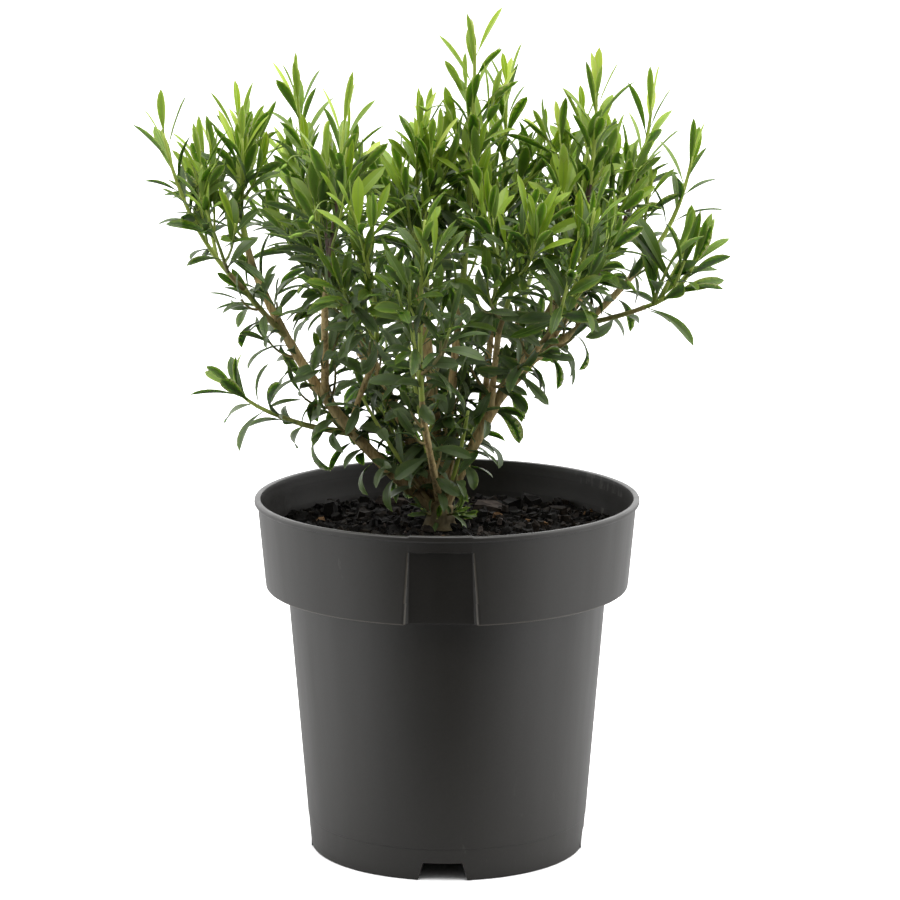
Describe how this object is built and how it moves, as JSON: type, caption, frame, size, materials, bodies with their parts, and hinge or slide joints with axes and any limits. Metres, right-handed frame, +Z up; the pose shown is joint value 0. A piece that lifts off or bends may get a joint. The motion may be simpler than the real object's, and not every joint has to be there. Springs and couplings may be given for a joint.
{
  "type": "potted eremophila",
  "caption": "Young bushy shrub with narrow green leaves on many slender stems, standing in a round tapered black nursery pot filled with bark potting mix.",
  "frame": {"origin": "middle of the pot's flat underside, on the pot's axis", "axes": "+Z up along the pot's axis; -Y out through the middle of the collar's label recess; +X to the right of it"},
  "size_m": [0.3201, 0.2378, 0.4427],
  "materials": {
    "pot_plastic": "matte moulded plastic, dark warm grey",
    "bark_mix": "moist composted bark",
    "bark": "rough tan-brown bark",
    "leaves": "smooth satin leaves, mid to yellow-green"
  },
  "bodies": {
    "root": {"pot": "pot_plastic", "potting_mix": "bark_mix", "trunk": "bark", "bough_back": "bark", "bough_back_far_left": "bark", "bough_back_far_right": "bark", "bough_back_left": "bark", "bough_back_low": "bark", "bough_centre": "bark", "bough_front": "bark", "bough_front_left": "bark", "bough_front_right": "bark", "bough_left": "bark", "bough_left_far": "bark", "bough_left_front": "bark", "bough_left_low": "bark", "bough_right": "bark", "bough_right_back": "bark", "bough_right_front": "bark", "bough_right_low": "bark", "bough_right_mid": "bark", "bough_top": "bark", "bough_top_right": "bark", "foliage_back": "leaves", "foliage_back_far_left": "leaves", "foliage_back_far_right": "leaves", "foliage_back_left": "leaves", "foliage_back_low": "leaves", "foliage_centre": "leaves", "foliage_front": "leaves", "foliage_front_left": "leaves", "foliage_front_right": "leaves", "foliage_left": "leaves", "foliage_left_far": "leaves", "foliage_left_front": "leaves", "foliage_left_low": "leaves", "foliage_right": "leaves", "foliage_right_back": "leaves", "foliage_right_front": "leaves", "foliage_right_low": "leaves", "foliage_right_mid": "leaves", "foliage_sprig_back": "leaves", "foliage_sprig_back_left": "leaves", "foliage_sprig_front": "leaves", "foliage_sprig_left": "leaves", "foliage_sprig_right": "leaves", "foliage_top": "leaves", "foliage_top_right": "leaves"}
  },
  "joints": []
}
